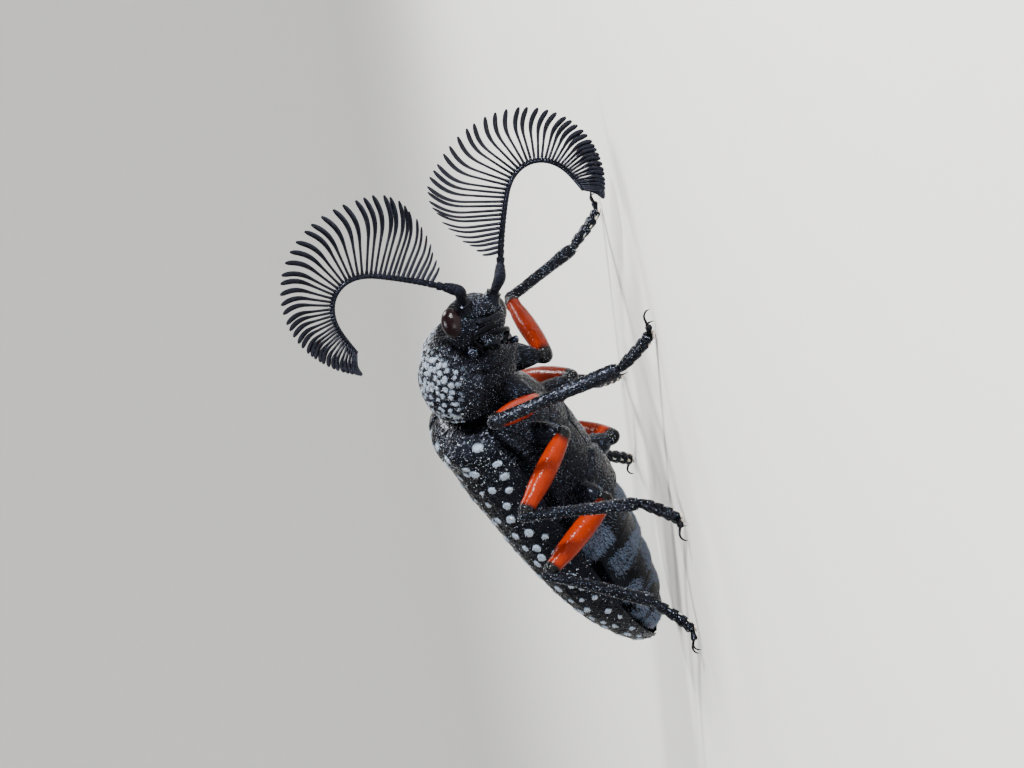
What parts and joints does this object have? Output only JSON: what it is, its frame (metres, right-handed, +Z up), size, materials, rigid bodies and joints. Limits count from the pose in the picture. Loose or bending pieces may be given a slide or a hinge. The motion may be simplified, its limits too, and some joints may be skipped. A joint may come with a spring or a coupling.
{
  "type": "feather-horned beetle",
  "caption": "Life-size still model of a standing male feather-horned beetle with raised comb-like antennae, pale spots and red thighs.",
  "frame": {"origin": "on the floor, under the middle of the whole beetle's box", "axes": "+Z up, -Y the way the beetle faces, +X to its left side"},
  "size_m": [0.02, 0.028, 0.0167],
  "materials": {
    "cuticle": "black punctured cuticle with white scales",
    "elytra": "black punctured wing cases with white spots",
    "femur": "glossy red-orange cuticle",
    "eye": "glossy dark brown facets",
    "feeler": "black cuticle with a blue sheen",
    "horn": "polished black cuticle"
  },
  "bodies": {
    "root": {"elytron_left": "elytra", "elytron_right": "elytra", "eye_left": "eye", "eye_right": "eye", "fan_left_inner": "feeler", "fan_left_outer": "feeler", "fan_right_inner": "feeler", "fan_right_outer": "feeler", "femur_fore_left": "femur", "femur_fore_right": "femur", "femur_hind_left": "femur", "femur_hind_right": "femur", "femur_mid_left": "femur", "femur_mid_right": "femur", "head": "cuticle", "mandible_left": "horn", "mandible_right": "horn", "palp_left": "cuticle", "palp_right": "cuticle", "prothorax": "cuticle", "pterothorax": "cuticle", "scape_left": "feeler", "scape_right": "feeler", "scutellum": "cuticle", "tarsus_fore_left": "cuticle", "tarsus_fore_right": "cuticle", "tarsus_hind_left": "cuticle", "tarsus_hind_right": "cuticle", "tarsus_mid_left": "cuticle", "tarsus_mid_right": "cuticle", "tibia_fore_left": "cuticle", "tibia_fore_right": "cuticle", "tibia_hind_left": "cuticle", "tibia_hind_right": "cuticle", "tibia_mid_left": "cuticle", "tibia_mid_right": "cuticle", "ventrite_1": "cuticle", "ventrite_2": "cuticle", "ventrite_3": "cuticle", "ventrite_4": "cuticle", "ventrite_5": "cuticle"}
  },
  "joints": []
}
